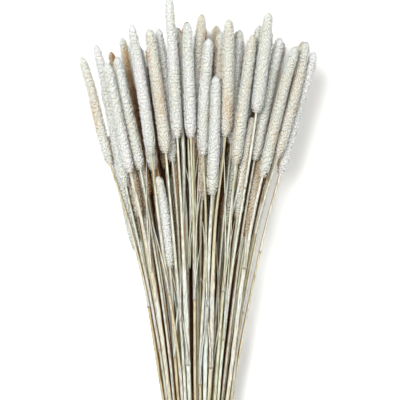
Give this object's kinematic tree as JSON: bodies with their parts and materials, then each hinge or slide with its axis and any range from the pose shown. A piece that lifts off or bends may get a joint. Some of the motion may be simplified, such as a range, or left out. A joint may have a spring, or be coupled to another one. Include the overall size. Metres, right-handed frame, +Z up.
{
  "type": "bunch of dried timothy grass",
  "caption": "Bunch of dried timothy grass, a fan of straw stems with cylindrical seed heads, tied with twine and lying on its side.",
  "frame": {"origin": "middle of the box's underside, on the surface that the bunch lies on", "axes": "+Y along the stems towards the seed heads, +Z up, +X across the bunch"},
  "size_m": [0.2002, 0.5698, 0.093],
  "materials": {
    "bleached_timothy": "matt, bristly, bleached seed heads on cream straw",
    "straw_timothy": "matt, bristly, tan seed heads on yellow straw",
    "jute_twine": "two-ply natural twine, hairy and matt"
  },
  "bodies": {
    "root": {"stalk_front_01": "bleached_timothy", "stalk_front_02": "bleached_timothy", "stalk_front_03": "bleached_timothy", "stalk_front_04": "bleached_timothy", "stalk_front_05": "bleached_timothy", "stalk_front_06": "bleached_timothy", "stalk_front_07": "bleached_timothy", "stalk_front_08": "bleached_timothy", "stalk_front_09": "bleached_timothy", "stalk_front_10": "bleached_timothy", "stalk_front_11": "bleached_timothy", "stalk_front_12": "bleached_timothy", "stalk_front_13": "bleached_timothy", "stalk_front_14": "bleached_timothy", "stalk_front_15": "bleached_timothy", "stalk_front_16": "bleached_timothy", "stalk_front_17": "bleached_timothy", "stalk_front_18": "bleached_timothy", "stalk_front_19": "bleached_timothy", "stalk_front_20": "bleached_timothy", "stalk_front_21": "bleached_timothy", "stalk_front_22": "bleached_timothy", "stalk_front_23": "bleached_timothy", "stalk_front_24": "bleached_timothy", "stalk_front_25": "bleached_timothy", "stalk_front_26": "bleached_timothy", "stalk_front_27": "bleached_timothy", "stalk_front_28": "bleached_timothy", "stalk_inner_01": "straw_timothy", "stalk_inner_02": "straw_timothy", "stalk_inner_03": "straw_timothy", "stalk_inner_04": "straw_timothy", "stalk_pair_01": "straw_timothy", "stalk_pair_02": "straw_timothy", "stalk_pair_03": "straw_timothy", "stalk_pair_04": "straw_timothy", "stalk_pair_05": "straw_timothy", "stalk_pair_06": "straw_timothy", "stalk_pair_07": "straw_timothy", "stalk_pair_08": "straw_timothy", "stalk_pair_09": "straw_timothy", "stalk_three_01": "straw_timothy", "stalk_three_02": "straw_timothy", "stalk_three_03": "straw_timothy", "stalk_three_04": "straw_timothy", "stalk_three_05": "straw_timothy", "stalk_three_06": "straw_timothy", "stalk_three_07": "straw_timothy", "stalk_three_08": "straw_timothy", "stalk_three_09": "straw_timothy", "stalk_three_10": "straw_timothy", "stalk_three_11": "straw_timothy", "stalk_three_12": "straw_timothy", "stalk_three_13": "straw_timothy", "stalk_three_14": "straw_timothy", "stalk_under_01": "straw_timothy", "stalk_under_02": "straw_timothy", "stalk_under_03": "straw_timothy", "stalk_under_04": "straw_timothy", "tie_twine": "jute_twine"}
  },
  "joints": []
}
